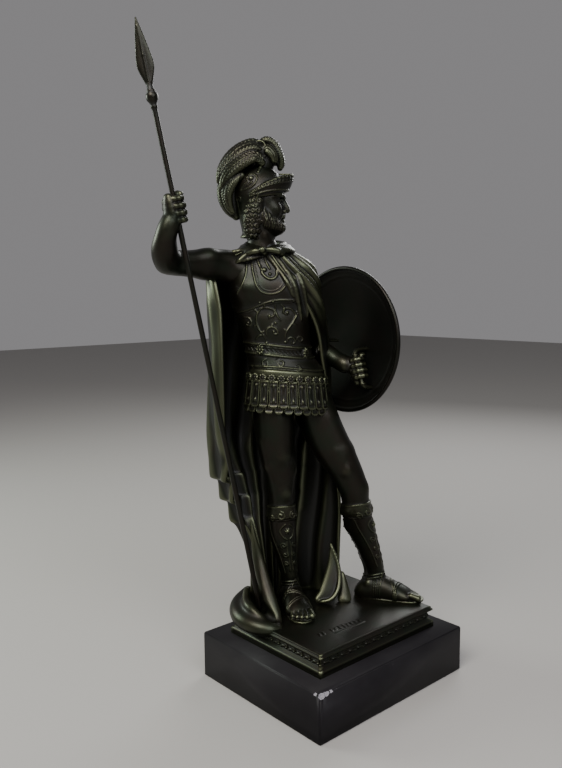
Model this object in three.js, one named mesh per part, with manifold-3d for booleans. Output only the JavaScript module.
// A cast bronze warrior with helmet, cloak, spear and round shield on a black marble plinth.
// Millimetres, +Z up. The origin is the middle of the plinth's underside, and the statue's front is -Y.
import * as THREE from 'three';
import { LoftGeometry } from 'three/addons/geometries/LoftGeometry.js';
import { mergeVertices } from 'three/addons/utils/BufferGeometryUtils.js';
import Module from 'manifold-3d';

const wasm = await Module();
wasm.setup();

// Sizes of the plinth and the plate
const PLINTH = { length: 132, width: 110, height: 30, edge: 0.9 };
const PLATE = { length: 106, width: 84, top: 44, leafRise: 1.6, leafPitch: 14 };
const FLOOR = PLATE.top;

// Spear: where its foot and its tip are, and how thick it is
const SPEAR = {
  foot: [-43.5, 23.1, 49.5], hold: [-92.7, 31, 298], tip: [-116.6, 35.2, 401.5], radius: 1.6,
  headLength: 34.5, headHalf: 4.9, collarAt: 41, collarRadius: 3.6,
};

// Shield: a dish that opens towards -X
const SHIELD = { centre: [21.5, 12, 221], radius: 48.5, depth: 11, wall: 1.5, rim: 1.5 };

// Middle of the head, and which way it faces in degrees from +X
const HEAD = { x: -32, y: 31, facing: 318.5 };

// Clearance between separate pieces
const GAP = 0.35;

const rad = THREE.MathUtils.degToRad;
const lerp = THREE.MathUtils.lerp;
const V = (x, y, z) => new THREE.Vector3(x, y, z);

// A closed mesh as a solid that can be joined and cut
function solid(geometry) {
  const bare = new THREE.BufferGeometry();
  bare.setAttribute('position', geometry.attributes.position);
  bare.setIndex(geometry.index);
  const g = mergeVertices(bare, 1e-4);
  const mesh = new wasm.Mesh({
    numProp: 3,
    vertProperties: new Float32Array(g.attributes.position.array),
    triVerts: new Uint32Array(g.index.array),
  });
  return new wasm.Manifold(mesh);
}

const join = (list) => list.reduce((all, one) => all.add(one));

// A solid as a named mesh of the scene
function piece(name, body, material) {
  const { vertProperties, triVerts } = body.getMesh();
  const geometry = new THREE.BufferGeometry();
  geometry.setAttribute('position', new THREE.BufferAttribute(new Float32Array(vertProperties), 3));
  geometry.setIndex(new THREE.BufferAttribute(new Uint32Array(triVerts), 1));
  geometry.computeVertexNormals();
  const mesh = new THREE.Mesh(geometry, material);
  mesh.name = name;
  return mesh;
}

// The value of a table [key, value] at a key, with straight lines between its rows
function table(rows, key, column = 1) {
  const up = rows[0][0] < rows[rows.length - 1][0];
  const list = up ? rows : [...rows].reverse();
  if (key <= list[0][0]) return list[0][column];
  for (let i = 1; i < list.length; i++) {
    if (key <= list[i][0]) {
      const t = (key - list[i - 1][0]) / (list[i][0] - list[i - 1][0]);
      return lerp(list[i - 1][column], list[i][column], t);
    }
  }
  return list[list.length - 1][column];
}

// A limb: stations of [x, y, z, half width, half depth] along a path, with the depth turned towards `front`
function limb(stations, front, sides = 10, shape = null) {
  const path = new THREE.CatmullRomCurve3(stations.map(([x, y, z]) => V(x, y, z)), false, 'centripetal');
  const sections = stations.map(([x, y, z, half, deep], i) => {
    const along = path.getTangent(i / (stations.length - 1));
    const d = V(...front).addScaledVector(along, -along.dot(V(...front))).normalize();
    const w = new THREE.Vector3().crossVectors(d, along);
    const ring = [];
    for (let j = 0; j < sides; j++) {
      const a = (2 * Math.PI * j) / sides;
      const bulge = shape ? shape(a) : 1;
      ring.push(V(x, y, z).addScaledVector(w, half * bulge * Math.cos(a))
        .addScaledVector(d, deep * bulge * Math.sin(a)));
    }
    return ring;
  });
  return solid(new LoftGeometry(sections, { closed: true, capStart: true, capEnd: true }));
}

const rod = (points, radius, sides, front) => limb(points.map((p) => [...p, radius, radius]), front,
  sides);

// A stack of level ovals: rows of [x, y, z, half width, half depth, facing], and a bulge by angle
function stack(rows, sides, bulge = () => 0) {
  const sections = rows.map(([x, y, z, half, deep, facing]) => {
    const f = rad(facing);
    const ring = [];
    for (let j = 0; j < sides; j++) {
      const a = (2 * Math.PI * j) / sides;
      const more = bulge(a, z);
      const w = (half + more) * Math.cos(a);
      const d = (deep + more) * Math.sin(a);
      ring.push(V(x + w * Math.sin(f) + d * Math.cos(f), y - w * Math.cos(f) + d * Math.sin(f), z));
    }
    return ring;
  });
  return solid(new LoftGeometry(sections, { closed: true, capStart: true, capEnd: true }));
}

// An egg with half sizes along its own axes, turned about Z
function egg([x, y, z], [a, b, c], turn = 0, wide = 10, high = 6) {
  const g = new THREE.SphereGeometry(1, wide, high);
  g.rotateX(Math.PI / 2);
  g.scale(a, b, c);
  g.rotateZ(rad(turn));
  g.translate(x, y, z);
  return solid(g);
}

// A block turned and moved, for cutting
function block([x, y, z], [a, b, c], [rx, ry, rz]) {
  const g = new THREE.BoxGeometry(a, b, c);
  g.rotateX(rad(rx));
  g.rotateY(rad(ry));
  g.rotateZ(rad(rz));
  g.translate(x, y, z);
  return solid(g);
}

// A smooth hill between 0 and 1, w wide
const hill = (x, w) => Math.exp(-(x * x) / (w * w));

// Marble block with soft edges and a chipped corner
function plinth() {
  const { length, width, height, edge } = PLINTH;
  const outline = new THREE.Shape();
  const [a, b] = [length / 2 - edge, width / 2 - edge];
  outline.moveTo(-a, -b).lineTo(a, -b).lineTo(a, b).lineTo(-a, b).closePath();
  const g = new THREE.ExtrudeGeometry(outline, {
    depth: height - 2 * edge, bevelEnabled: true, bevelThickness: edge, bevelSize: edge, bevelSegments: 1,
  });
  g.translate(0, 0, edge);
  const chips = [0, 1, 2].map((i) => block([-length / 2 + i * 5, -width / 2 - 1.1, height],
    [9 - i, 4.2, 4.2], [45 + i * 4, 0, -12 + i * 8]));
  return chips.reduce((body, chip) => body.subtract(chip), solid(g));
}

// Moulded bronze plate: a foot, a hollowed frieze with a row of leaves, and a slab with two fillets
function plate() {
  const profile = [[30, 0], [34.2, 0], [35, -1.4], [36, -3.2], [39.6, -3.2], [40.6, -1.6], [41, -0.6],
    [42.4, -0.6], [42.6, -1.2], [43.2, -1.2], [43.4, -1.8], [FLOOR, -2.2]];
  const sections = profile.map(([z, inset]) => {
    const [a, b] = [PLATE.length / 2 + inset, PLATE.width / 2 + inset];
    return [V(a, -b, z), V(a, b, z), V(-a, b, z), V(-a, -b, z)];
  });
  const parts = [solid(new LoftGeometry(sections, { closed: true, capStart: true, capEnd: true }))];
  for (const turned of [false, true]) {
    const [span, other] = turned ? [PLATE.width, PLATE.length] : [PLATE.length, PLATE.width];
    const count = Math.floor((span - 14) / PLATE.leafPitch);
    for (let i = 0; i < count; i++) {
      const s = (i - (count - 1) / 2) * PLATE.leafPitch;
      for (const side of [-1, 1]) {
        const t = side * (other / 2 - 3.2);
        const [x, y] = turned ? [t, s] : [s, t];
        const [a, b] = turned ? [PLATE.leafRise, 3.6] : [3.6, PLATE.leafRise];
        parts.push(egg([x, y, 37.8], [a, b, 1.7], 0, 4, 2));
      }
    }
  }
  return join(parts);
}

// Legs with boots, whose turned-down tops flare below the knee, and feet
const RIGHT_LEG = [[-29, 26, 190, 13, 14], [-27.5, 25.5, 162, 12.6, 13.2], [-24.5, 25, 137, 9.8, 10.8],
  [-23, 24.6, 124, 8.6, 9.6], [-22.2, 25.6, 115.6, 8, 9], [-22, 25.8, 114, 10, 11],
  [-21.6, 26.2, 107, 10.6, 11.6], [-21.4, 26.4, 105.6, 8.8, 9.6], [-20.5, 27, 97, 9, 9.6],
  [-18, 26, 79, 7, 7.6], [-16, 24.8, 63, 5.6, 6.2], [-14.5, 26, 50, 6, 7], [-14.5, 26, FLOOR - 1, 6.4, 7.4]];
const LEFT_LEG = [[-5, 19, 190, 12.5, 14], [2.5, 10.5, 160, 12.6, 13.2], [11, 0.5, 136, 10.2, 11],
  [14.7, -2.6, 123, 8.9, 9.8], [16.4, -1.8, 115.6, 8.4, 9.2], [16.8, -1.6, 114, 10.2, 11],
  [18.8, -0.8, 107, 10.6, 11.6], [19.3, -0.6, 105.6, 8.8, 9.6], [22.5, 0.4, 97, 9, 9.6],
  [29, -1, 79, 7, 7.6], [34.6, -3.6, 62.5, 5.6, 6.2], [34, -1, 50, 6, 7], [34, -1, FLOOR - 1, 6.4, 7.4]];
const RIGHT_FOOT = [[-10.8, 33.5, 47, 3.4, 3.6], [-12.6, 30, 49, 5.2, 6], [-17, 21, 50.5, 6, 7.5],
  [-20.8, 12.5, 48.5, 7.2, 5.5], [-24.2, 5, 46.6, 8.6, 4], [-26.6, 0.6, 46, 8.8, 3.4],
  [-28.4, -2, 45.2, 6.6, 2.2]];
const LEFT_FOOT = [[29.6, 3, 47, 3.4, 3.6], [32.4, -0.6, 49, 5.2, 6], [38.4, -8.6, 50.5, 6, 7.5],
  [44, -15.8, 48.5, 7.2, 5.5], [49.2, -22.6, 46.6, 8.4, 4], [52.6, -27.4, 46, 8.4, 3.4],
  [54.6, -30, 45.2, 6.2, 2.2]];
const leg = (stations, footStations, front) =>
  limb(stations, front, 10).add(limb(footStations, [0, 0, 1], 8));

function lerp3(a, b, t) {
  return [lerp(a[0], b[0], t), lerp(a[1], b[1], t), lerp(a[2], b[2], t)];
}

// Cuirass: a trunk with the chest, the ribs' edge and the belly as bulges, and a corded belt with two studs
function trunk() {
  const rows = [[-16.5, 23, 178, 20, 15, 252], [-18, 24, 190, 22.5, 17, 250],
    [-20, 25.3, 203, 21.8, 16.4, 246],
    [-22.2, 26.4, 212.4, 21, 15.4, 242], [-22.4, 26.5, 213.6, 22.4, 16.8, 241],
    [-22.6, 26.7, 216, 21.8, 16.2, 240],
    [-22.8, 26.9, 218.4, 22.4, 16.8, 239], [-23, 27, 219.6, 21, 15.2, 238],
    [-25, 28.2, 233, 23.2, 16.6, 232], [-26.2, 29, 242, 24.6, 17, 229],
    [-27.2, 29.6, 250, 25.6, 17.6, 229],
    [-28, 30.2, 259, 25.4, 16.8, 229], [-28.8, 30.8, 268, 22, 13.6, 229], [-29, 31, 275, 15, 10.8, 229],
    [-29, 30.6, 280, 9.6, 9.4, 250], [-30.4, 30, 288, 8.2, 8.8, 290], [-31, 30, 297, 7.8, 8.8, 318]];
  const bulge = (a, z) => {
    const front = Math.max(0, Math.sin(a));
    const chest = 2.4 * hill(z - 255, 9) * (hill(a - 0.95, 0.42) + hill(a - 2.19, 0.42));
    const ribs = -1.1 * hill(z - 242, 4) * front;
    const belly = 1.0 * hill(z - 228, 6) * hill(a - 1.57, 0.7) * front;
    const studs = 2.4 * hill(z - 216, 2.6) * (hill(a - 0.31, 0.16) + hill(a - 2.83, 0.16));
    return chest + ribs + belly + studs;
  };
  return stack(rows, 16, bulge);
}

// Skirt: lappets with rounded ends round the hips, hung under a row of rosettes
const SKIRT = { lappets: 16, centre: [-18, 23.6], half: 28.6, deep: 21.6, facing: 250 };
function skirt() {
  const { lappets, centre, half, deep, facing } = SKIRT;
  const f = rad(facing);
  const perLappet = 3;
  const rows = [[206, 0.77, 0, 0], [202.4, 0.9, 0.06, 0], [198, 0.92, 0.06, 0], [195.4, 0.87, 0, 0],
    [193.6, 0.93, 0.05, 0], [177.5, 1.03, 0.06, 1], [176.5, 0.86, 0, 1]];
  const sections = rows.map(([z, scale, lobe, hem]) => {
    const ring = [];
    for (let i = 0; i < lappets * perLappet; i++) {
      const a = (2 * Math.PI * i) / (lappets * perLappet);
      const across = Math.abs(Math.sin((lappets * a) / 2));
      const k = scale + lobe * (across - 0.6);
      const [w, d] = [half * k * Math.cos(a), deep * k * Math.sin(a)];
      const drop = 2.8 * Math.cos(a - 0.4) + 3.4 * hem * (0.5 - across);
      ring.push(V(centre[0] + w * Math.sin(f) + d * Math.cos(f),
        centre[1] - w * Math.cos(f) + d * Math.sin(f), z + drop));
    }
    return ring;
  });
  return solid(new LoftGeometry(sections.reverse(), { closed: true, capStart: true, capEnd: true }));
}

// Head and helmet, placed by how far forward, how far to its left and how high
const [headCos, headSin] = [Math.cos(rad(HEAD.facing)), Math.sin(rad(HEAD.facing))];
const headTurn = (forward, left) => [forward * headCos - left * headSin,
  forward * headSin + left * headCos];
const headAt = (forward, left, z) => {
  const [x, y] = headTurn(forward, left);
  return [HEAD.x + x, HEAD.y + y, z];
};
function headRow(forward, z, half, deep) {
  const [x, y] = headAt(forward, 0, z);
  return [x, y, z, half, deep, HEAD.facing];
}
function headLimb(rows, [forward, left, up], sides = 8, shape = null) {
  const stations = rows.map(([s, w, z, a, b]) => [...headAt(s, w, z), a, b]);
  return limb(stations, [...headTurn(forward, left), up], sides, shape);
}

function head() {
  const curls = (a, z) => {
    const side = hill(Math.abs(a - Math.PI / 2) - 1.9, 0.5) * hill(z - 301, 7);
    return side * (1.4 + Math.cos(z * 1.5));
  };
  const skull = stack([headRow(8, 289.6, 3.6, 4.6), headRow(5, 293, 8.4, 9.8), headRow(2.4, 297.4,
    10.6, 12.2),
    headRow(2, 300, 10.8, 12.8), headRow(1.2, 304, 11.2, 13.6), headRow(0.4, 309.4, 11.8, 14),
    headRow(0.2, 313, 12, 15), headRow(-0.6, 320, 11.8, 13.8), headRow(-1, 327, 7, 9)], 16, curls);
  const nose = headLimb([[13.4, 0, 312, 1.2, 1.6], [15.6, 0, 306.4, 1.6, 1.8], [16.8, 0, 303.4, 2.4, 2],
    [13.4, 0, 301.2, 2, 1.4]], [1, 0, 0], 6);
  return join([skull, nose]);
}

function helmet() {
  const bowl = egg(headAt(-1.4, 0, 314.5), [15.8, 14.2, 16.6], HEAD.facing, 13, 7);
  const low = block(headAt(10, 0, 290), [64, 60, 44], [0, 10, HEAD.facing]);
  // The guard: a wall round the back from cheek to cheek that flares over the nape
  const rows = [[286.6, -1.5, 10.4, 12.6, 128], [289.5, -1.2, 10, 11, 128], [297, -1, 11.4, 12.8, 124],
    [305, -1, 13.2, 14.8, 112], [312, -1.4, 13.9, 15.4, 92], [318, -1.4, 13.6, 15.2, 80]];
  const n = 8;
  const sections = rows.map(([z, forward, half, deep, open]) => {
    const ring = [];
    const point = (i, wall) => {
      const a = rad(lerp(open, 360 - open, i / n));
      return V(...headAt(forward + (deep - wall) * Math.cos(a), (half - wall) * Math.sin(a), z));
    };
    for (let i = 0; i <= n; i++) ring.push(point(i, 0));
    for (let i = n; i >= 0; i--) ring.push(point(i, 3));
    return ring;
  });
  const guard = solid(new LoftGeometry(sections, { closed: true, capStart: true, capEnd: true }));
  const half = [[-6, 13.4, 312, 1.6, 1.4], [3, 13.4, 316, 1.5, 2.8], [11, 10.4, 318.6, 1.4, 4.2],
    [16.6, 4.4, 320, 1.2, 5]];
  const other = half.map(([s, w, z, a, b]) => [s, -w, z, a, b]);
  const brow = headLimb([...other, [17.8, 0, 320.4, 1.2, 5.6], ...half.reverse()], [0.35, 0, 1], 6);
  return join([bowl.subtract(low), guard, brow]);
}

// Plumes: feathers that rise from the helmet's crown, fall over the brow and run down the back
function plumes() {
  const lobe = (a) => 1 + 0.09 * Math.cos(4 * a + 0.6);
  const feather = (rows, front, sides = 10) => headLimb(rows, front, sides, lobe);
  const parts = [
    feather([[0, 0, 326, 6, 6], [0, 0, 336, 9.4, 7.4], [-7, 0, 338, 9.6, 8.4], [-15, 0, 333.5, 9.6, 8.8],
      [-19, 0, 324.5, 8.6, 8.4], [-19.6, 0, 314, 7.4, 7], [-18.6, 0, 306, 6.4, 5.6],
      [-16, 0, 299.6, 3, 3]], [0, 1, 0], 10),
    feather([[-2, 0, 339, 6, 6], [4, 0, 343, 5.4, 5], [9.4, 0, 338, 4.2, 4.4], [11.6, 0, 333, 3, 3.4],
      [11.8, 0, 328.6, 1.4, 1.6]], [0, 1, 0], 8),
  ];
  for (const s of [-1, 1]) {
    parts.push(feather([[3, s * 5, 328, 3.6, 3], [-2, s * 8.4, 334, 6.4, 4.4], [-11, s * 9.4, 334.5, 8, 5],
      [-18, s * 8.6, 326, 7.4, 4.6], [-20.6, s * 7.4, 315, 5.4, 3.6], [-18.6, s * 6, 304, 3, 2.6]],
    [0, s, 0.3], 6));
  }
  return join(parts);
}

// Arms and hands
const RIGHT_ARM = [[-38, 37, 265, 9, 9.4], [-49, 43, 269, 9, 9.6], [-61, 44.6, 270.4, 7.8, 8.2],
  [-78, 45.6, 270.8, 7, 7.2], [-90, 46, 271.4, 6.6, 6.8]];
const RIGHT_FOREARM = [[-87, 47, 270.6, 6, 5.4], [-93.4, 45.4, 271.6, 6.6, 6.4],
  [-98.4, 40.6, 278, 6.6, 6.4],
  [-100.6, 34.6, 286.6, 5, 4.8], [-99.6, 32.6, 291.4, 4.6, 4.4], [-97, 31.8, 296, 4.6, 4.6]];
const LEFT_ARM = [[-9, 20.6, 266, 8.6, 9], [-2, 26, 254, 8, 8.4], [5, 37, 232, 7, 7.4],
  [8.4, 41.4, 222.5, 6.6, 6.8]];
const LEFT_FOREARM = [[8, 41.8, 221, 6, 6], [10.6, 32, 217, 6.8, 6.8], [13, 18, 211.4, 5.6, 5.6],
  [14.8, 8, 207, 4.4, 4.4], [15.6, 3, 205, 4.6, 4.6]];

const spearAt = (z) => {
  const [low, high] = z < SPEAR.hold[2] ? [SPEAR.foot, SPEAR.hold] : [SPEAR.hold, SPEAR.tip];
  return lerp3(low, high, (z - low[2]) / (high[2] - low[2]));
};

// A closed hand round a bar: four fingers wrapped round it, the palm behind and the thumb across
function fist(bar, along, palm, size = 1) {
  const axis = V(...along).normalize();
  const back = V(...palm).addScaledVector(axis, -axis.dot(V(...palm))).normalize();
  const side = new THREE.Vector3().crossVectors(axis, back);
  const at = (a, r, up) => {
    const p = V(...bar).addScaledVector(axis, up * size)
      .addScaledVector(back, r * size * Math.cos(a)).addScaledVector(side, r * size * Math.sin(a));
    return [p.x, p.y, p.z];
  };
  const arc = [0.2, 1.2, 2.3, 3.4, 4.4].map((a) => [...at(a, 4.4, 0), 2.4 * size, 8.6 * size]);
  const grooves = (a) => 1 - 0.14 * Math.sin(2 * Math.PI * Math.sin(a)) ** 2;
  return join([
    limb(arc, axis.toArray(), 12, grooves),
    limb([[...at(0, 3.6, -9.4), 3.2 * size, 2.6 * size], [...at(0.1, 4.6, 0), 4.6 * size, 3 * size],
      [...at(0.2, 4.2, 8.4), 3.2 * size, 2.4 * size]], back.toArray(), 8),
    rod([at(-0.6, 5.4, 4.6), at(-1.7, 5.2, 8), at(-3.0, 4.8, 8.6)], 2.1 * size, 6, axis.toArray()),
  ]);
}

// Cloak. Each row is a level: [z, axis x, axis y, first angle, last angle, reach at each of CLOAK_ANGLES]
const CLOAK_ANGLES = [235, 180, 138, 90, 40, 0, -35, -70, -125];
const CLOAK = [
  [286, -29, 31, 226, -121, 11, 11.4, 12, 11.6, 11.4, 11.4, 11.6, 11.2, 11],
  [283, -29, 31, 226, -121, 13.4, 14.2, 15, 14.4, 14, 14, 14.4, 13.8, 13.2],
  [279.6, -29, 31, 222, -121, 13.4, 14.4, 15.4, 14.4, 14, 14.4, 15, 14, 13],
  [277.6, -29, 31, 196, -118, 12, 18, 22, 16, 14, 16, 20, 14.6, 12],
  [268, -28, 30.6, 146, -104, 13, 26, 39, 27, 20, 24, 30, 20.6, 15],
  [258, -26, 29.6, 168, -88, 20, 31, 41, 33, 25, 29, 31, 22.6, 18],
  [240, -24, 29, 178, -56, 30, 33.4, 43.4, 37, 30, 34, 31, 22, 20],
  [215, -22, 28, 179, -36, 30, 37, 44, 39, 36, 38, 30, 22, 20],
  [167, -22, 28, 177, -22, 30, 37, 44.6, 39, 37, 36, 34, 22, 20],
  [145, -22, 28, 176, -8, 28, 33, 43, 36, 35, 33, 34, 22, 20],
  [133, -22, 28, 174, -8, 25, 33, 42, 33, 33, 34, 34, 22, 20],
  [130, -22, 28, 173, -8, 25, 28, 37, 32, 32, 34, 34, 22, 20],
  [118, -22, 28, 170, -9, 24, 27, 36, 29, 30, 34, 34, 22, 20],
  [115, -22, 28, 168, -9, 23, 24, 31, 28, 30, 35, 35, 22, 20],
  [104, -22, 28, 165, -10, 20, 22, 30, 25, 28, 36, 36, 22, 20],
  [100, -22, 28, 163, -11, 20, 21, 26, 24, 28, 37, 37, 22, 20],
  [72, -22, 28, 160, -13, 15, 15, 18, 17, 24, 40, 41, 22, 20],
  [43, -22, 28, 160, -15, 16, 16, 19, 14, 21, 41, 43, 22, 20],
];
const FOLDS = { count: 8, wall: 2.4, across: 21 };
function cloakPoint(u, level, out) {
  const [z, ax, ay, first, last, ...reach] = level;
  const degrees = lerp(first, last, u);
  const r = table(CLOAK_ANGLES.map((a, i) => [a, reach[i]]), degrees);
  const deep = table([[43, 2.4], [120, 3.2], [200, 2.6], [256, 1.4], [285, 0.4]], z);
  const wave = 0.75 * Math.cos(2 * Math.PI * (FOLDS.count * u + 0.25 * Math.sin(z / 45)))
    + 0.45 * Math.cos(2 * Math.PI * (0.45 * FOLDS.count * u + 0.3) + z / 70);
  const ends = Math.sin(Math.PI * Math.min(1, 6 * u, 6 * (1 - u)) / 2);
  const radius = r + deep * wave * ends - (out ? 0 : FOLDS.wall);
  const a = rad(degrees);
  return V(ax + radius * Math.cos(a), ay + radius * Math.sin(a), z);
}
function cloak() {
  const n = FOLDS.across;
  const sections = [...CLOAK].reverse().map((level) => {
    const ring = [];
    for (let i = 0; i <= n; i++) ring.push(cloakPoint(i / n, level, false));
    for (let i = n; i >= 0; i--) ring.push(cloakPoint(i / n, level, true));
    return ring;
  });
  return solid(new LoftGeometry(sections, { closed: true, capStart: true, capEnd: true }));
}

// The cloak's heap on the plate, the curls of its hem and the folds that stand behind the legs
function tails() {
  return join([
    limb([[-38, 42, 56, 4, 4], [-45, 38, 50, 8, 6.6], [-50, 28, 47, 9, 7.4], [-50.5, 16, 45.6, 8, 6.6],
      [-46, 6, 44.4, 6, 5.4], [-43, 1, 43, 3.4, 3.6]], [0, 0, 1], 8),
    limb([[-33, 30, 84, 5, 3], [-36, 24, 66, 6, 3.4], [-37.5, 15, 54, 7, 3], [-38, 6, 46, 6, 2.4],
      [-40, 0, 40.5, 3, 1.6]], [-0.75, -0.66, 0.4], 7),
    limb([[17, 18, 112, 2.6, 2], [17.8, 15.5, 86, 4, 1.8], [17.8, 11.4, 67, 6, 1.7],
      [14.6, 5.6, 54.6, 6.8, 1.7],
      [8, 1.6, 47.6, 5.6, 1.7], [2, 1, 45.4, 2.6, 1.4]], [-0.66, -0.75, 0.35], 7),
    limb([[20, 13, 62, 2.4, 1.4], [16.6, 3, 51, 2.8, 1.4], [12.3, -8.6, 44, 1, 1]], [-0.4, -0.6, 0.7], 5),
  ]);
}

// Spear: rod, ringed collar and a leaf-shaped blade
function spear(grow = 0) {
  const length = V(...SPEAR.hold).distanceTo(V(...SPEAR.tip));
  const at = (d) => lerp3(SPEAR.tip, SPEAR.hold, d / length);
  const r = SPEAR.radius + grow;
  const foot = lerp3(SPEAR.foot, SPEAR.hold, -grow / 254);
  if (grow) return limb([[...foot, r, r], [...SPEAR.hold, r, r], [...at(70), r, r]], [0, -1, 0], 8);
  const { collarAt: c, collarRadius: k, headLength: end, headHalf: wide } = SPEAR;
  const shaft = limb([[...foot, r, r], [...SPEAR.hold, r, r], [...at(c + 4), r, r],
    [...at(c + 3), r * 1.5, r * 1.5],
    [...at(c + 1), k, k], [...at(c - 2.4), k, k], [...at(c - 4), r * 1.5, r * 1.5],
    [...at(end), r * 1.2, r * 1.2]],
  [0, -1, 0], 8);
  const blade = limb([[...at(end + 1), 1.8, 1.8], [...at(31), 3.4, 1.8], [...at(25.5), wide, 1.7],
    [...at(17), 3.9, 1.5], [...at(7.4), 2, 1], [...at(0.4), 0.4, 0.4]], [-0.66, -0.75, 0], 6);
  return join([shaft, blade]);
}

// Shield: the dish, its rolled rim, a strap round the forearm and a grip in the fist
const STRAP = { at: [12.2, 22.4, 213.2], reach: 8.4, along: [0.2, -0.94, -0.3] };
const GRIP = { at: [19.4, -4.5, 202.6], along: [0, 0.35, 0.94], radius: 1.5, reach: 13 };
function shieldParts(grow = 0) {
  const { centre, radius, depth, wall, rim } = SHIELD;
  const profile = [];
  const steps = 3;
  const arc = (k) => depth * (1 - (k / steps) ** 2);
  for (let i = 0; i <= steps; i++) profile.push([(radius - rim) * (i / steps), arc(i)]);
  profile.push([radius - 0.4, -0.9], [radius, 0.2], [radius - 0.4, 1.3]);
  for (let i = steps; i >= 0; i--) profile.push([(radius - rim - 0.4) * (i / steps), arc(i) + wall]);
  const g = new THREE.LatheGeometry(profile.map(([x, y]) => new THREE.Vector2(x, y)), 24);
  g.rotateZ(-Math.PI / 2);
  g.translate(...centre);
  const dish = solid(g);
  const axis = V(...STRAP.along).normalize();
  const ring = [];
  const n = 7;
  const outX = V(1, 0, 0).addScaledVector(axis, -axis.x).normalize();
  const up = new THREE.Vector3().crossVectors(axis, outX);
  for (let i = 0; i <= n; i++) {
    const a = -0.62 * Math.PI + (1.24 * Math.PI * i) / n + Math.PI;
    const p = V(...STRAP.at).addScaledVector(outX, STRAP.reach * Math.cos(a))
      .addScaledVector(up, STRAP.reach * Math.sin(a));
    ring.push([p.x, p.y, p.z, 0.8 + grow, 2.6 + grow]);
  }
  const lug = (s) => {
    const p = ring[s < 0 ? 0 : n];
    return [p, [26, p[1] - 0.5, p[2] + s * 1.5, 0.9 + grow, 2.6 + grow],
      [32, p[1] - 0.5, p[2] + s * 2, 0.9 + grow, 2.4 + grow]];
  };
  const strap = limb(ring, axis.toArray(), 6);
  const lugs = [-1, 1].map((s) => limb(lug(s), axis.toArray(), 6));
  const gripAxis = V(...GRIP.along).normalize();
  const end = (s, out) => V(out, 0, 0).add(V(...GRIP.at)).addScaledVector(gripAxis,
    s * GRIP.reach).toArray();
  const grip = rod([end(-1, 7.2), end(-0.96, 3), end(-0.8, 0), end(0, -0.4), end(0.8, 0), end(0.96, 3),
    end(1, 12.8)], GRIP.radius + grow, 6, [0, -1, 0]);
  return { dish, fittings: [strap, ...lugs, grip] };
}

function shield() {
  const { dish, fittings } = shieldParts();
  return join([dish, ...fittings]);
}

// The casting, with clearance cut for the spear and for the shield's fittings
function figure() {
  const body = join([
    plate(), leg(RIGHT_LEG, RIGHT_FOOT, [-0.35, -0.94, 0]), leg(LEFT_LEG, LEFT_FOOT, [0.35, -0.94, 0]),
    skirt(), trunk(), head(), helmet(), plumes(),
    limb(RIGHT_ARM, [0, -0.4, 1], 9), limb(RIGHT_FOREARM, [-0.7, -0.5, 0], 9),
    limb(LEFT_ARM, [1, 0, 0.2], 8), limb(LEFT_FOREARM, [1, 0, 0.2], 8),
    fist(spearAt(299.5), V(...SPEAR.tip).sub(V(...SPEAR.foot)).toArray(), [-1, 0.1, 0]),
    fist(GRIP.at, GRIP.along, [-0.35, 1, 0], 0.92),
    cloak(), egg([-37.6, 20.4, 279.6], [3.2, 3.2, 2.8], 0, 6, 4), tails(),
  ]);
  const cut = [spear(GAP), ...shieldParts(GAP).fittings].reduce((a, b) => a.subtract(b), body);
  // The cut leaves crumbs in the fists, so the largest body is kept
  return cut.decompose().reduce((a, b) => (a.volume() > b.volume() ? a : b));
}

const bronze = () => new THREE.MeshStandardMaterial({ color: 0x35362c, roughness: 0.42,
  metalness: 0.85 });
const marble = new THREE.MeshStandardMaterial({ color: 0x1b1b1e, roughness: 0.3, metalness: 0 });

const statue = new THREE.Group();
statue.add(
  piece('marble_plinth', plinth(), marble),
  piece('bronze_figure', figure(), bronze()),
  piece('spear', spear(), bronze()),
  piece('shield', shield(), bronze()),
);

export default statue;
